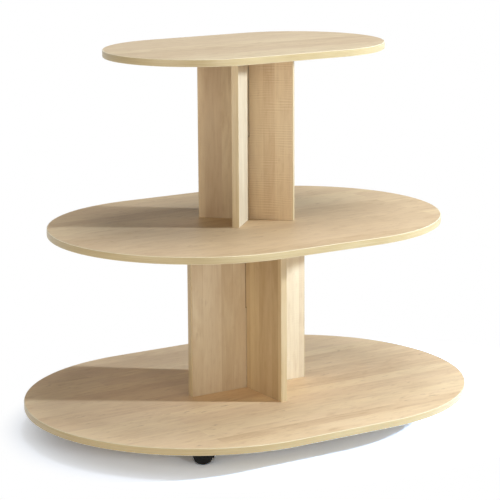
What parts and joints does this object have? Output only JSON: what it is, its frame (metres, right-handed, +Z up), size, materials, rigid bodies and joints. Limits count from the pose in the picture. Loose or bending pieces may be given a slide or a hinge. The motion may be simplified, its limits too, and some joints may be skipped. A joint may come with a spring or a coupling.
{
  "type": "tiered display table",
  "caption": "Tiered display table on swivel castors: racetrack-shaped maple-decor shelves, each smaller than the one below, carried on posts of crossed panels.",
  "frame": {"origin": "on the floor, under the middle of the table", "axes": "+X along the shelves' long axis, +Y along their short axis, +Z up"},
  "size_m": [1.2, 0.92, 0.98],
  "materials": {
    "maple_face": "matt maple-decor melamine facing with fine grain",
    "maple_edge_band": "satin maple-coloured plastic edge band, a little yellower than the faces",
    "zinc_steel": "zinc-plated pressed steel",
    "bright_steel": "bright turned steel",
    "black_nylon": "black moulded nylon, satin",
    "black_tread": "black moulded hard wheel, matt tread"
  },
  "bodies": {
    "table": {"bottom_shelf_board": "maple_face", "bottom_shelf_edge_band": "maple_edge_band", "middle_shelf_board": "maple_face", "middle_shelf_edge_band": "maple_edge_band", "top_shelf_board": "maple_face", "top_shelf_edge_band": "maple_edge_band", "lower_post_under_panel": "maple_face", "lower_post_over_panel": "maple_face", "lower_post_edge_band_right": "maple_edge_band", "lower_post_screw_right": "zinc_steel", "lower_post_bracket_right": "zinc_steel", "lower_post_edge_band_rear": "maple_edge_band", "lower_post_screw_rear": "zinc_steel", "lower_post_bracket_rear": "zinc_steel", "lower_post_edge_band_left": "maple_edge_band", "lower_post_screw_left": "zinc_steel", "lower_post_bracket_left": "zinc_steel", "lower_post_edge_band_front": "maple_edge_band", "lower_post_screw_front": "zinc_steel", "lower_post_bracket_front": "zinc_steel", "upper_post_under_panel": "maple_face", "upper_post_over_panel": "maple_face", "upper_post_edge_band_right": "maple_edge_band", "upper_post_screw_right": "zinc_steel", "upper_post_bracket_right": "zinc_steel", "upper_post_edge_band_rear": "maple_edge_band", "upper_post_screw_rear": "zinc_steel", "upper_post_bracket_rear": "zinc_steel", "upper_post_edge_band_left": "maple_edge_band", "upper_post_screw_left": "zinc_steel", "upper_post_bracket_left": "zinc_steel", "upper_post_edge_band_front": "maple_edge_band", "upper_post_screw_front": "zinc_steel", "upper_post_bracket_front": "zinc_steel", "front_left_castor_plate": "zinc_steel", "front_left_castor_kingpin": "bright_steel", "front_right_castor_plate": "zinc_steel", "front_right_castor_kingpin": "bright_steel", "rear_left_castor_plate": "zinc_steel", "rear_left_castor_kingpin": "bright_steel", "rear_right_castor_plate": "zinc_steel", "rear_right_castor_kingpin": "bright_steel"},
    "front_left_castor": {"front_left_castor_hood": "black_nylon", "front_left_castor_axle": "bright_steel"},
    "front_left_castor_left_wheel": {"front_left_castor_left_wheel": "black_tread"},
    "front_left_castor_right_wheel": {"front_left_castor_right_wheel": "black_tread"},
    "front_right_castor": {"front_right_castor_hood": "black_nylon", "front_right_castor_axle": "bright_steel"},
    "front_right_castor_left_wheel": {"front_right_castor_left_wheel": "black_tread"},
    "front_right_castor_right_wheel": {"front_right_castor_right_wheel": "black_tread"},
    "rear_left_castor": {"rear_left_castor_hood": "black_nylon", "rear_left_castor_axle": "bright_steel"},
    "rear_left_castor_left_wheel": {"rear_left_castor_left_wheel": "black_tread"},
    "rear_left_castor_right_wheel": {"rear_left_castor_right_wheel": "black_tread"},
    "rear_right_castor": {"rear_right_castor_hood": "black_nylon", "rear_right_castor_axle": "bright_steel"},
    "rear_right_castor_left_wheel": {"rear_right_castor_left_wheel": "black_tread"},
    "rear_right_castor_right_wheel": {"rear_right_castor_right_wheel": "black_tread"}
  },
  "joints": [
    {"name": "front_left_castor_swivel", "type": "hinge", "parent": "table", "child": "front_left_castor", "pos_m": [-0.288, -0.278, 0.0555], "axis": [0, 0, 1], "continuous": true},
    {"name": "front_left_castor_left_wheel_spin", "type": "hinge", "parent": "front_left_castor", "child": "front_left_castor_left_wheel", "pos_m": [-0.30431, -0.27039, 0.025], "axis": [-0.4226, -0.9063, 0], "continuous": true},
    {"name": "front_left_castor_right_wheel_spin", "type": "hinge", "parent": "front_left_castor", "child": "front_left_castor_right_wheel", "pos_m": [-0.30431, -0.27039, 0.025], "axis": [-0.4226, -0.9063, 0], "continuous": true},
    {"name": "front_right_castor_swivel", "type": "hinge", "parent": "table", "child": "front_right_castor", "pos_m": [0.288, -0.278, 0.0555], "axis": [0, 0, 1], "continuous": true},
    {"name": "front_right_castor_left_wheel_spin", "type": "hinge", "parent": "front_right_castor", "child": "front_right_castor_left_wheel", "pos_m": [0.27169, -0.27039, 0.025], "axis": [-0.4226, -0.9063, 0], "continuous": true},
    {"name": "front_right_castor_right_wheel_spin", "type": "hinge", "parent": "front_right_castor", "child": "front_right_castor_right_wheel", "pos_m": [0.27169, -0.27039, 0.025], "axis": [-0.4226, -0.9063, 0], "continuous": true},
    {"name": "rear_left_castor_swivel", "type": "hinge", "parent": "table", "child": "rear_left_castor", "pos_m": [-0.288, 0.278, 0.0555], "axis": [0, 0, 1], "continuous": true},
    {"name": "rear_left_castor_left_wheel_spin", "type": "hinge", "parent": "rear_left_castor", "child": "rear_left_castor_left_wheel", "pos_m": [-0.30431, 0.28561, 0.025], "axis": [-0.4226, -0.9063, 0], "continuous": true},
    {"name": "rear_left_castor_right_wheel_spin", "type": "hinge", "parent": "rear_left_castor", "child": "rear_left_castor_right_wheel", "pos_m": [-0.30431, 0.28561, 0.025], "axis": [-0.4226, -0.9063, 0], "continuous": true},
    {"name": "rear_right_castor_swivel", "type": "hinge", "parent": "table", "child": "rear_right_castor", "pos_m": [0.288, 0.278, 0.0555], "axis": [0, 0, 1], "continuous": true},
    {"name": "rear_right_castor_left_wheel_spin", "type": "hinge", "parent": "rear_right_castor", "child": "rear_right_castor_left_wheel", "pos_m": [0.27169, 0.28561, 0.025], "axis": [-0.4226, -0.9063, 0], "continuous": true},
    {"name": "rear_right_castor_right_wheel_spin", "type": "hinge", "parent": "rear_right_castor", "child": "rear_right_castor_right_wheel", "pos_m": [0.27169, 0.28561, 0.025], "axis": [-0.4226, -0.9063, 0], "continuous": true}
  ]
}
